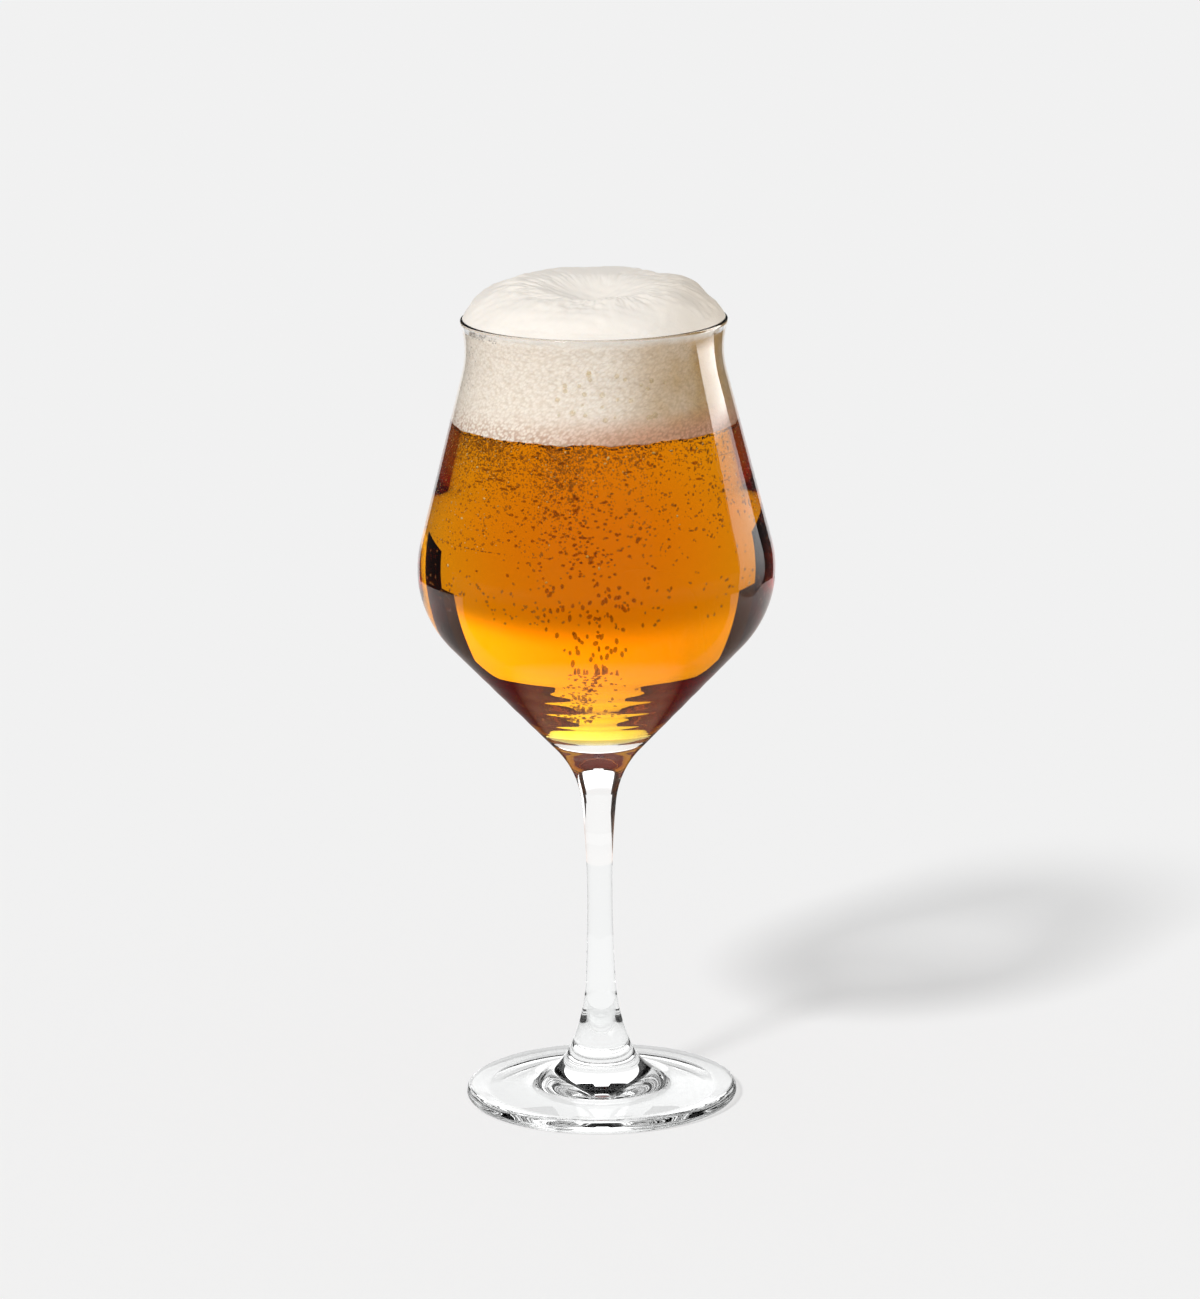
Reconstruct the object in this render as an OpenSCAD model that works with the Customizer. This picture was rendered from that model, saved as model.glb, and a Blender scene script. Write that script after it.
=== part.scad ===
// Stemmed tulip beer glass, filled: a blown bowl, a drawn stem and a spun foot that are fused while hot,
// with a body of beer and a domed head of foam standing in the bowl.
// Every piece turns about Z. Z is 0 on the table, and the foot's centre is the origin.

/* [Bowl] */
// Height of the glass, from the table to the top of its lip
glass_h = 200; // [170:1:240]
// Outer diameter of the neck, the narrowest place under the lip
neck_d = 64; // [54:0.5:72]
// Height of the flared lip above the neck
lip_h = 7.5; // [5:0.5:14]
// Radius of the outward bend of the lip
lip_bend = 22; // [16:1:60]
// Radius of the bend between the neck and the straight upper wall
neck_bend = 26; // [10:1:40]
// Outer diameter of the belly, the widest place
belly_d = 89; // [82:0.5:110]
// Height of the lip above the belly
belly_h = 63; // [54:0.5:72]
// Radius of the belly's rounded shoulder
belly_bend = 27; // [15:1:32]
// Radius of the hollow curve where the bowl's cone runs into the stem
base_bend = 23.5; // [12:0.5:30]
// Thickness of the blown wall
wall = 1.3; // [0.9:0.1:2.2]
// Radius of the rounded floor inside the bowl
floor_bend = 24; // [12:0.5:27]
// Thickness of the wall where its cone meets the floor
base_wall = 2.9; // [1.5:0.1:5]

/* [Stem] */
// Height of the lip above the seam between the stem and the bowl
bowl_seam_h = 123; // [112:0.5:134]
// Diameter of the stem at its waist
waist_d = 6.4; // [5:0.1:10]
// Height of the waist above the middle of the drawn stem, between its flare and the bowl's seam
waist_h = 1; // [-8:0.5:8]
// Gain in diameter from the waist up to the bowl's seam
top_gain = 2.3; // [0.6:0.1:6]
// Height at which the stem's lower flare begins
flare_h = 30; // [24:0.5:38]
// Gain in diameter from the waist down to the start of the flare
flare_gain = 1.2; // [0.4:0.1:4]

/* [Foot] */
// Diameter of the foot
foot_d = 68.5; // [60:0.5:90]
// Thickness of the foot's rounded edge
foot_edge = 3.4; // [2.2:0.1:5]
// Slope of the foot's upper face, in degrees
foot_slope = 4; // [1:0.5:8]
// Height of the seam between the foot and the stem
foot_seam_h = 12.5; // [11:0.5:15]
// Diameter of the glass at that seam
foot_seam_d = 16.2; // [12:0.2:22]
// Width of the flat ring that the glass stands on
rest_w = 4; // [2:0.5:8]
// Depth of the hollow under the foot
hollow_depth = 2; // [0.8:0.1:3]

/* [Beer and foam] */
// Depth of the foam inside the glass, from the lip down to the beer
foam_depth = 25.5; // [8:0.5:50]
// Height of the foam's crest above the lip
foam_rise = 8.8; // [4:0.2:11]
// Diameter of the foam's crest
crest_d = 37.6; // [30:0.2:44]
// Depth of the dimple in the middle of the crest
dimple_depth = 3.5; // [1:0.1:5]
// Clearance between the glass and what it holds
film = 0.05; // [0.02:0.01:0.2]

/* [Hidden] */
// Steps of every revolved face, the largest turn between two points of an arc, and its fewest steps
$fn = 128;
arc_step = 3;
arc_least = 6;
glass_colour = [0.93, 0.95, 0.95, 0.35];
beer_colour = [0.82, 0.46, 0.03];
foam_colour = [0.96, 0.92, 0.86];

neck_r = neck_d / 2;
belly_r = belly_d / 2;
waist_r = waist_d / 2;
foot_r = foot_d / 2;
crest_r = crest_d / 2;
neck_z = glass_h - lip_h;
belly_z = glass_h - belly_h;
seam_z = glass_h - bowl_seam_h;
waist_z = (flare_h + seam_z) / 2 + waist_h;
beer_z = glass_h - foam_depth;
crest_z = glass_h + foam_rise;

// Points of an arc about c, radius r, from angle a to angle b, both ends included
function arc(c, r, a, b) =
    let (n = max(arc_least, ceil(abs(b - a) / arc_step)))
    [for (i = [0:n]) let (t = a + (b - a) * i / n) c + r * [cos(t), sin(t)]];

// Angle from upright of the line that runs between two circles on opposite sides of it,
// where d goes from the inner circle's centre to the outer one's and rise counts away from the belly
function cross_tangent(d, rise, sum_r) = asin(sum_r / norm([d, rise])) - atan2(d, rise);

// Radius of an arc that leaves an upright at a point and moves off by gain over a length of run
function bow_radius(gain, run) = (gain * gain + run * run) / (2 * gain);

function reverse(points) = [for (i = [len(points) - 1:-1:0]) points[i]];

// Lip: an outward bend that ends in a half-round edge as thick as the wall
lip_round = wall / 2;
lip_angle = asin((lip_h - lip_round) / (lip_bend + lip_round));
lip_centre = [neck_r + lip_bend, neck_z];
edge_centre = lip_centre - (lip_bend + lip_round) * [cos(lip_angle), -sin(lip_angle)];

// Neck and belly: two bends with a straight wall that touches both
neck_centre = [neck_r + neck_bend, neck_z];
belly_centre = [belly_r - belly_bend, belly_z];
wall_angle = cross_tangent(neck_centre[0] - belly_centre[0], neck_z - belly_z, neck_bend + belly_bend);

// Stem: a long bow each way from the waist
top_bow = bow_radius(top_gain / 2, seam_z - waist_z);
top_angle = asin((seam_z - waist_z) / top_bow);
low_bow = bow_radius(flare_gain / 2, waist_z - flare_h);
low_angle = asin((waist_z - flare_h) / low_bow);

// Base of the bowl: carries on the stem's line, then bends out to a cone that touches the belly
stem_top = [waist_r + top_gain / 2, seam_z];
base_centre = stem_top + base_bend * [cos(top_angle), -sin(top_angle)];
cone_angle = cross_tangent(base_centre[0] - belly_centre[0], belly_z - base_centre[1], base_bend + belly_bend);

// Inside of the bowl: a cone that touches both the belly's inner bend and the rounded floor,
// which lies a base wall's thickness inside the outer cone
cone_normal = [cos(cone_angle), -sin(cone_angle)];
floor_centre = [0, (floor_bend + base_wall - belly_bend - belly_centre * cone_normal) / sin(cone_angle)];
to_belly = belly_centre - floor_centre;
inner_angle = acos((floor_bend - belly_bend + wall) / norm(to_belly)) - atan2(to_belly[1], to_belly[0]);

// Flare of the stem: one bend that carries on the lower bow and ends at the foot's seam
flare_start = [waist_r + flare_gain / 2, flare_h];
foot_seam = [foot_seam_d / 2, foot_seam_h];
flare_chord = foot_seam - flare_start;
flare_angle = 2 * atan2(flare_chord[0], -flare_chord[1]) - low_angle;
flare_bend = norm(flare_chord) / (2 * sin((flare_angle - low_angle) / 2));
flare_centre = flare_start + flare_bend * [cos(low_angle), sin(low_angle)];

// Foot: the flare's slope bends round to the slope of the upper face, which ends in a round edge
edge_r = foot_edge / 2;
foot_edge_centre = [foot_r - edge_r, edge_r];
face_normal = [sin(foot_slope), cos(foot_slope)];
face_point = foot_edge_centre + edge_r * face_normal;
sweep = [cos(flare_angle) - sin(foot_slope), sin(flare_angle) - cos(foot_slope)];
foot_bend = ((face_point - foot_seam) * face_normal) / (sweep * face_normal);
foot_centre = foot_seam + foot_bend * [cos(flare_angle), sin(flare_angle)];
hollow_r = foot_edge_centre[0] - rest_w;
hollow_bow = bow_radius(hollow_depth, hollow_r);
hollow_half = asin(hollow_r / hollow_bow);

// Foam: a round shoulder from the lip up to the crest, then a shallow dimple that touches it
foam_edge = edge_centre + [0, lip_round + film];
shoulder_r = bow_radius(crest_z - foam_edge[1], foam_edge[0] - crest_r);
shoulder_centre = [crest_r, crest_z - shoulder_r];
shoulder_start = atan2(foam_edge[1] - shoulder_centre[1], foam_edge[0] - crest_r);
dimple_r = bow_radius(dimple_depth, crest_r) - shoulder_r;
dimple_centre = [0, crest_z - dimple_depth + dimple_r];
dimple_angle = atan2(dimple_centre[1] - shoulder_centre[1], crest_r);

// Line of the bowl's outside, from the stem's seam up to the lip
function outer_line() = concat(
    arc(base_centre, base_bend, 180 - top_angle, 180 - cone_angle),
    arc(belly_centre, belly_bend, -cone_angle, wall_angle),
    arc(neck_centre, neck_bend, 180 + wall_angle, 180),
    arc(lip_centre, lip_bend, 180, 180 - lip_angle));

// Line of the bowl's inside, from the middle of the floor up to the lip, set in by gap
function inner_line(gap) = let (t = wall + gap) concat(
    arc(floor_centre, floor_bend - gap, -90, -inner_angle),
    arc(belly_centre, belly_bend - t, -inner_angle, wall_angle),
    arc(neck_centre, neck_bend + t, 180 + wall_angle, 180),
    arc(lip_centre, lip_bend + t, 180, 180 - lip_angle));

module bowl() color(glass_colour) rotate_extrude() polygon(concat(
    [[0, seam_z]],
    outer_line(),
    arc(edge_centre, lip_round, -lip_angle, 180 - lip_angle),
    reverse(inner_line(0))));

module stem() color(glass_colour) rotate_extrude() polygon(concat(
    [[0, foot_seam_h]],
    arc(flare_centre, flare_bend, 180 + flare_angle, 180 + low_angle),
    arc([waist_r + low_bow, waist_z], low_bow, 180 + low_angle, 180),
    arc([waist_r + top_bow, waist_z], top_bow, 180, 180 - top_angle),
    [[0, seam_z]]));

module foot() color(glass_colour) rotate_extrude() polygon(concat(
    arc([0, hollow_depth - hollow_bow], hollow_bow, 90, 90 - hollow_half),
    arc(foot_edge_centre, edge_r, -90, 90 - foot_slope),
    arc(foot_centre, foot_bend, 270 - foot_slope, 180 + flare_angle),
    [[0, foot_seam_h]]));

// Everything that the glass holds, as one outline
module contents() polygon(concat(
    inner_line(film),
    arc(edge_centre, lip_round + film, 180 - lip_angle, 90),
    arc(shoulder_centre, shoulder_r, shoulder_start, 180 - dimple_angle),
    arc(dimple_centre, dimple_r, -dimple_angle, -90)));

module below_beer_line() square([belly_d, beer_z]);

module beer() color(beer_colour) rotate_extrude() intersection() {
    contents();
    below_beer_line();
}

module foam_head() color(foam_colour) rotate_extrude() difference() {
    contents();
    below_beer_line();
}

bowl();
stem();
foot();
beer();
foam_head();
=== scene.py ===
import bpy
import numpy as np
from mathutils import Matrix, Vector


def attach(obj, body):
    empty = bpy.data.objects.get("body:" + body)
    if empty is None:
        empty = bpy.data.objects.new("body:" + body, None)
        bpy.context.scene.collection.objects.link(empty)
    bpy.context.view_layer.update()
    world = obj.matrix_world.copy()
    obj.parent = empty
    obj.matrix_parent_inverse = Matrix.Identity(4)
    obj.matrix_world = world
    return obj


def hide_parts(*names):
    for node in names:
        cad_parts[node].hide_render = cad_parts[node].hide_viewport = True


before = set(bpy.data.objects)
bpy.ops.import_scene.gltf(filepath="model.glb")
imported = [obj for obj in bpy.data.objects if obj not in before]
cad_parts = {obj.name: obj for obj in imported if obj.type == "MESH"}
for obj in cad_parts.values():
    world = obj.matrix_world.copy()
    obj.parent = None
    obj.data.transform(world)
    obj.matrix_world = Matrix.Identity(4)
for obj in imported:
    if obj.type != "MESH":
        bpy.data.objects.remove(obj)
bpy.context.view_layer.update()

# Stem: a solid rod of clear crystal, drawn down from the hot base of the bowl, with a flare at the foot.
# It is fused to the bowl above and to the foot below, so all three have the same number of turns.
# All sizes are in millimetres.
scene = bpy.context.scene
MM = 0.001
glass_h = 200.0
bowl_seam_h = 123.0
waist_d = 6.4
waist_h = 1.0
top_gain = 2.3
flare_h = 30.0
flare_gain = 1.2
foot_seam_h = 12.5
foot_seam_d = 16.2
glass_turns = 216
crystal_index = 1.52
crystal_tint = (0.985, 0.992, 0.99, 1)
ripple_depth = 0.02
edge_blend = 0.35


def polar(angle):
    """Unit vector (cos, sin) of an angle in degrees."""
    return np.array([np.cos(np.radians(angle)), np.sin(np.radians(angle))])


def arc(centre, radius, start, end, step=0.6, bend=5, fewest=6):
    """Points of an arc about centre, from one angle to another in degrees.

    They lie at most step millimetres and bend degrees apart, over at least the fewest stretches.
    """
    sweep = abs(end - start)
    count = max(fewest, int(np.ceil(max(radius * np.radians(sweep) / step, sweep / bend))))
    turn = np.radians(np.linspace(start, end, count + 1))
    return np.column_stack((centre[0] + radius * np.cos(turn), centre[1] + radius * np.sin(turn)))


def bow_radius(gain, run):
    """Radius of an arc that leaves an upright and moves off by gain over a length of run."""
    return (gain * gain + run * run) / (2 * gain)


def profile(*runs, gap=0.8):
    """One line through all the runs of points, with its straight stretches filled in every gap."""
    points = np.vstack(runs)
    apart = np.linalg.norm(np.diff(points, axis=0), axis=1) > 1e-6
    points = points[np.append(True, apart)]
    along = np.append(0, np.cumsum(np.linalg.norm(np.diff(points, axis=0), axis=1)))
    fills = [np.linspace(a, b, int(np.ceil((b - a) / gap)) + 1)[:-1] for a, b in zip(along[:-1], along[1:])]
    place = np.append(np.concatenate(fills), along[-1])
    return np.column_stack([np.interp(place, along, points[:, k]) for k in (0, 1)])


def mesh_piece(name, points, quads, triangles, materials):
    """A smooth-shaded mesh object at the origin, from points in millimetres and two arrays of corners."""
    mesh = bpy.data.meshes.new(name)
    mesh.vertices.add(len(points))
    mesh.vertices.foreach_set("co", (points * MM).ravel())
    corners = np.concatenate((quads.ravel(), triangles.ravel()))
    sizes = np.repeat((4, 3), (len(quads), len(triangles)))
    mesh.loops.add(len(corners))
    mesh.loops.foreach_set("vertex_index", corners)
    mesh.polygons.add(len(sizes))
    mesh.polygons.foreach_set("loop_start", np.cumsum(sizes) - sizes)
    mesh.polygons.foreach_set("use_smooth", np.ones(len(sizes), bool))
    mesh.update(calc_edges=True)
    for material in materials:
        mesh.materials.append(material)
    piece = bpy.data.objects.new(name, mesh)
    scene.collection.objects.link(piece)
    return piece


def lathe(name, line, turns, materials, slots=None, change=None, sharp=40):
    """A solid of revolution: the point at turn t of a line point (r, z) is (r cos t, r sin t, z).

    The line starts and ends on the axis. change may move the grid of points, slots gives each
    stretch between two line points its material, and edges over sharp degrees aren't smoothed.
    """
    turn = np.linspace(0, 2 * np.pi, turns, endpoint=False)
    r = np.repeat(line[1:-1, :1], turns, axis=1)
    z = np.repeat(line[1:-1, 1:], turns, axis=1)
    grid = np.stack((r * np.cos(turn), r * np.sin(turn), z), axis=2)
    poles = np.column_stack((np.zeros((2, 2)), line[[0, -1], 1]))
    if change is not None:
        grid, poles = change(grid, poles, line, turn)
    rows = len(line) - 2
    index = np.arange(rows * turns).reshape(rows, turns)
    after = np.roll(index, -1, axis=1)
    quads = np.stack((index[:-1], after[:-1], after[1:], index[1:]), axis=2).reshape(-1, 4)
    first = np.column_stack((after[0], index[0], np.full(turns, rows * turns)))
    last = np.column_stack((index[-1], after[-1], np.full(turns, rows * turns + 1)))
    piece = mesh_piece(
        name, np.vstack((grid.reshape(-1, 3), poles)), quads, np.vstack((first, last)), materials)
    if slots is not None:
        by_face = np.concatenate((np.repeat(slots[1:-1], turns), np.repeat(slots[[0, -1]], turns)))
        piece.data.polygons.foreach_set("material_index", by_face.astype(np.int32))
    piece.data.set_sharp_from_angle(angle=np.radians(sharp))
    return piece


def ripple_group():
    """Height of the slow ripples that hot working leaves in glass, drawn out along Z."""
    group = bpy.data.node_groups.new("drawn_ripple", "ShaderNodeTree")
    for name, way in (("Across", "INPUT"), ("Along", "INPUT"), ("Height", "OUTPUT")):
        group.interface.new_socket(name, in_out=way, socket_type="NodeSocketFloat")
    nodes, links = group.nodes, group.links
    start = nodes.new("NodeGroupInput")
    end = nodes.new("NodeGroupOutput")
    place = nodes.new("ShaderNodeTexCoord")
    scale = nodes.new("ShaderNodeCombineXYZ")
    stretch = nodes.new("ShaderNodeVectorMath")
    stretch.operation = "MULTIPLY"
    noise = nodes.new("ShaderNodeTexNoise")
    noise.inputs["Scale"].default_value = 1.0
    noise.inputs["Detail"].default_value = 1.0
    for axis, name in (("X", "Across"), ("Y", "Across"), ("Z", "Along")):
        links.new(start.outputs[name], scale.inputs[axis])
    links.new(place.outputs["Object"], stretch.inputs[0])
    links.new(scale.outputs["Vector"], stretch.inputs[1])
    links.new(stretch.outputs["Vector"], noise.inputs["Vector"])
    links.new(noise.outputs["Fac"], end.inputs["Height"])
    return group


drawn_ripple = ripple_group()


def new_material(name):
    """A material, with the lists of its nodes and of its links."""
    material = bpy.data.materials.new(name)
    material.use_nodes = True
    return material, material.node_tree.nodes, material.node_tree.links


def by_ray(tree, ray, usual, special):
    """A surface that is special for one kind of ray and usual for the others."""
    path = tree.nodes.new("ShaderNodeLightPath")
    choice = tree.nodes.new("ShaderNodeMixShader")
    tree.links.new(path.outputs[ray], choice.inputs["Fac"])
    tree.links.new(usual, choice.inputs[1])
    tree.links.new(special, choice.inputs[2])
    return choice.outputs["Shader"]


def clear_glass(name, index, across=110.0, along=30.0, face=0.97, veil=0.35):
    """Crystal that bends light by index, with drawn ripples of those counts to the metre.

    Lamps shine through it unbent, by a share of face where they meet it square and of veil edge on.
    """
    material, nodes, links = new_material(name)
    glass = nodes["Principled BSDF"]
    glass.inputs["Base Color"].default_value = crystal_tint
    glass.inputs["Roughness"].default_value = 0.0
    glass.inputs["IOR"].default_value = index
    glass.inputs["Transmission Weight"].default_value = 1.0
    ripple = nodes.new("ShaderNodeGroup")
    ripple.node_tree = drawn_ripple
    ripple.inputs["Across"].default_value = across
    ripple.inputs["Along"].default_value = along
    bump = nodes.new("ShaderNodeBump")
    bump.inputs["Strength"].default_value = 1.0
    bump.inputs["Distance"].default_value = ripple_depth * MM
    edge = nodes.new("ShaderNodeLayerWeight")
    edge.inputs["Blend"].default_value = edge_blend
    shade = nodes.new("ShaderNodeValToRGB")
    shade.color_ramp.elements[0].color = (face, face, face, 1)
    shade.color_ramp.elements[1].color = (veil, veil, veil, 1)
    lets_lamps = nodes.new("ShaderNodeBsdfTransparent")
    lets_bounces = nodes.new("ShaderNodeBsdfTransparent")
    links.new(ripple.outputs["Height"], bump.inputs["Height"])
    links.new(bump.outputs["Normal"], glass.inputs["Normal"])
    links.new(edge.outputs["Facing"], shade.inputs["Fac"])
    links.new(shade.outputs["Color"], lets_lamps.inputs["Color"])
    tree = material.node_tree
    surface = by_ray(tree, "Is Diffuse Ray", glass.outputs["BSDF"], lets_bounces.outputs["BSDF"])
    surface = by_ray(tree, "Is Shadow Ray", surface, lets_lamps.outputs["BSDF"])
    links.new(surface, nodes["Material Output"].inputs["Surface"])
    return material


def fused_seam():
    """Where two glass pieces are fused nothing bends the light, so the shared face doesn't show."""
    material, nodes, links = new_material("fused_seam")
    nodes.remove(nodes["Principled BSDF"])
    clear = nodes.new("ShaderNodeBsdfTransparent")
    links.new(clear.outputs["BSDF"], nodes["Material Output"].inputs["Surface"])
    return material


waist_r = waist_d / 2
seam_z = glass_h - bowl_seam_h
waist_z = (flare_h + seam_z) / 2 + waist_h
top_bow = bow_radius(top_gain / 2, seam_z - waist_z)
top_angle = np.degrees(np.arcsin((seam_z - waist_z) / top_bow))
low_bow = bow_radius(flare_gain / 2, waist_z - flare_h)
low_angle = np.degrees(np.arcsin((waist_z - flare_h) / low_bow))
flare_start = np.array([waist_r + flare_gain / 2, flare_h])
foot_seam = np.array([foot_seam_d / 2, foot_seam_h])
flare_chord = foot_seam - flare_start
flare_angle = 2 * np.degrees(np.arctan2(flare_chord[0], -flare_chord[1])) - low_angle
flare_bend = np.linalg.norm(flare_chord) / (2 * np.sin(np.radians((flare_angle - low_angle) / 2)))
flare_centre = flare_start + flare_bend * polar(low_angle)
stem_line = profile(
    [[0, foot_seam_h]],
    arc(flare_centre, flare_bend, 180 + flare_angle, 180 + low_angle),
    arc((waist_r + low_bow, waist_z), low_bow, 180 + low_angle, 180),
    arc((waist_r + top_bow, waist_z), top_bow, 180, 180 - top_angle),
    [[0, seam_z]])


def seam_slots(line, *heights):
    """Slot 1 on the flat stretches of a line that lie at these heights, and slot 0 elsewhere."""
    level = np.isin(np.round(line[:, 1], 6), np.round(heights, 6))
    return (level[:-1] & level[1:]).astype(int)


crystal = clear_glass("crystal", crystal_index)
seam = fused_seam()
stem_slots = seam_slots(stem_line, foot_seam_h, seam_z)
stem = lathe("drawn_stem", stem_line, glass_turns, [crystal, seam], stem_slots)
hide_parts("stem")
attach(stem, "root")

# Foot: a disc of the same crystal, spun out flat from a gather of glass while it is soft.
# Its top rises to the stem in one bend, its edge is fire-polished round,
# and a shallow hollow under it leaves a flat ring to stand on.
foot_d = 68.5
foot_edge = 3.4
foot_slope = 4.0
rest_w = 4.0
hollow_depth = 2.0
edge_r = foot_edge / 2
foot_edge_centre = np.array([foot_d / 2 - edge_r, edge_r])
face_normal = polar(90 - foot_slope)
face_point = foot_edge_centre + edge_r * face_normal
foot_sweep = polar(flare_angle) - face_normal
foot_bend = (face_point - foot_seam) @ face_normal / (foot_sweep @ face_normal)
foot_centre = foot_seam + foot_bend * polar(flare_angle)
hollow_r = foot_edge_centre[0] - rest_w
hollow_bow = bow_radius(hollow_depth, hollow_r)
hollow_half = np.degrees(np.arcsin(hollow_r / hollow_bow))
foot_line = profile(
    arc((0, hollow_depth - hollow_bow), hollow_bow, 90, 90 - hollow_half),
    arc(foot_edge_centre, edge_r, -90, 90 - foot_slope),
    arc(foot_centre, foot_bend, 270 - foot_slope, 180 + flare_angle),
    [[0, foot_seam_h]])
foot = lathe("spun_foot", foot_line, glass_turns, [crystal, seam], seam_slots(foot_line, foot_seam_h))
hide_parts("foot")
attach(foot, "root")

# Bowl: thin crystal blown into a mould, with a conical base, a round belly and a drawn-in neck.
# Its lip is bent outwards and fire-polished to a half-round edge.
# Its inner face is wet with beer and foam, so light bends there only as between crystal and beer.
neck_d = 64.0
lip_h = 7.5
lip_bend = 22.0
neck_bend = 26.0
belly_d = 89.0
belly_h = 63.0
belly_bend = 27.0
base_bend = 23.5
wall = 1.3
floor_bend = 24.0
base_wall = 2.9
foam_depth = 25.5
ring_depth = 0.042
ring_pitch = 4.4
ring_low = 95.0
ring_high = 112.0
ring_fade = 2.0
cone_steps = 60
beer_index = 1.325
neck_r = neck_d / 2
neck_z = glass_h - lip_h
belly_z = glass_h - belly_h
beer_z = glass_h - foam_depth
lip_round = wall / 2
lip_angle = np.degrees(np.arcsin((lip_h - lip_round) / (lip_bend + lip_round)))
lip_centre = np.array([neck_r + lip_bend, neck_z])
edge_centre = lip_centre + (lip_bend + lip_round) * polar(180 - lip_angle)
neck_centre = np.array([neck_r + neck_bend, neck_z])
belly_centre = np.array([belly_d / 2 - belly_bend, belly_z])


def cross_tangent(across, rise, radii):
    """Angle from upright, in degrees, of the line that touches two circles on opposite sides of it."""
    return np.degrees(np.arcsin(radii / np.hypot(across, rise)) - np.arctan2(across, rise))


wall_angle = cross_tangent(neck_centre[0] - belly_centre[0], neck_z - belly_z, neck_bend + belly_bend)
stem_top = np.array([waist_r + top_gain / 2, seam_z])
base_centre = stem_top + base_bend * polar(-top_angle)
cone_run = belly_centre - base_centre
cone_angle = cross_tangent(-cone_run[0], cone_run[1], base_bend + belly_bend)
cone_low = base_centre + base_bend * polar(180 - cone_angle)
cone_high = belly_centre + belly_bend * polar(-cone_angle)
floor_rise = floor_bend + base_wall - belly_bend - belly_centre @ polar(-cone_angle)
floor_centre = np.array([0, floor_rise / np.sin(np.radians(cone_angle))])
to_belly = belly_centre - floor_centre
inner_turn = np.arccos((floor_bend - belly_bend + wall) / np.linalg.norm(to_belly))
inner_angle = np.degrees(inner_turn - np.arctan2(to_belly[1], to_belly[0]))


def inner_line(inset):
    """The bowl's inside, from the middle of its floor up to the lip, moved inwards by inset."""
    depth = wall + inset
    return profile(
        arc(floor_centre, floor_bend - inset, -90, -inner_angle),
        arc(belly_centre, belly_bend - depth, -inner_angle, wall_angle),
        arc(neck_centre, neck_bend + depth, 180 + wall_angle, 180),
        arc(lip_centre, lip_bend + depth, 180, 180 - lip_angle))


def turned_cone(low, high):
    """The cone's outer line from low to high, with the shallow rings that turning in the mould leaves.

    The radius gains a sine of the height between two heights.
    """
    line = low + np.linspace(0, 1, cone_steps)[:, None] * (high - low)
    z = line[:, 1]
    between = np.clip((z - ring_low) / ring_fade, 0, 1) * np.clip((ring_high - z) / ring_fade, 0, 1)
    line[:, 0] += ring_depth * between * np.sin(2 * np.pi * z / ring_pitch)
    return line


bowl_line = profile(
    [[0, seam_z]],
    arc(base_centre, base_bend, 180 - top_angle, 180 - cone_angle),
    turned_cone(cone_low, cone_high),
    arc(belly_centre, belly_bend, -cone_angle, wall_angle),
    arc(neck_centre, neck_bend, 180 + wall_angle, 180),
    arc(lip_centre, lip_bend, 180, 180 - lip_angle),
    arc(edge_centre, lip_round, -lip_angle, 180 - lip_angle),
    inner_line(0)[::-1])
wet_crystal = clear_glass("wet_crystal", crystal_index / beer_index, across=60.0, along=25.0)
lip_crystal = clear_glass("lip_crystal", crystal_index, veil=0.95)
base_crystal = clear_glass("base_crystal", crystal_index, face=0.6, veil=0.2)
bowl_glass = [crystal, seam, wet_crystal, lip_crystal, base_crystal]
past_lip = np.arange(len(bowl_line)) > np.argmax(bowl_line[:, 1])
wetted = past_lip & (bowl_line[:, 1] < glass_h - 2 * wall)
bowl_slots = np.where(wetted[1:], bowl_glass.index(wet_crystal), seam_slots(bowl_line, seam_z))
outside = bowl_slots == bowl_glass.index(crystal)
bowl_slots[outside & (bowl_line[1:, 1] > neck_z)] = bowl_glass.index(lip_crystal)
bowl_slots[outside & (bowl_line[1:, 1] < ring_high)] = bowl_glass.index(base_crystal)
bowl = lathe("blown_bowl", bowl_line, glass_turns, bowl_glass, bowl_slots)
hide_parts("bowl")
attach(bowl, "root")

# Beer: amber ale that fills the bowl up to the foam and lies against the wet wall.
# The wall bends the light, so the beer itself only colours it, more the further it goes.
beer_colour = (0.971, 0.847, 0.12, 1)
beer_strength = 140.0
wall_film = 0.04


def amber_beer():
    """Clear beer: no bend of its own, and each millimetre of it takes the same share of the light."""
    material, nodes, links = new_material("amber_beer")
    body = nodes["Principled BSDF"]
    body.inputs["Base Color"].default_value = (1, 1, 1, 1)
    body.inputs["Roughness"].default_value = 0.0
    body.inputs["IOR"].default_value = 1.0
    body.inputs["Transmission Weight"].default_value = 1.0
    soak = nodes.new("ShaderNodeVolumeAbsorption")
    soak.inputs["Color"].default_value = beer_colour
    soak.inputs["Density"].default_value = beer_strength
    links.new(soak.outputs["Volume"], nodes["Material Output"].inputs["Volume"])
    return material


wet_line = inner_line(-wall_film)
beer_rim = np.interp(beer_z, wet_line[:, 1], wet_line[:, 0])
beer_line = profile(wet_line[wet_line[:, 1] < beer_z], [[beer_rim, beer_z], [0, beer_z]])
beer = lathe("beer_body", beer_line, glass_turns, [amber_beer()])
beer.visible_shadow = False
beer.visible_diffuse = False
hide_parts("beer")
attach(beer, "root")

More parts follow.
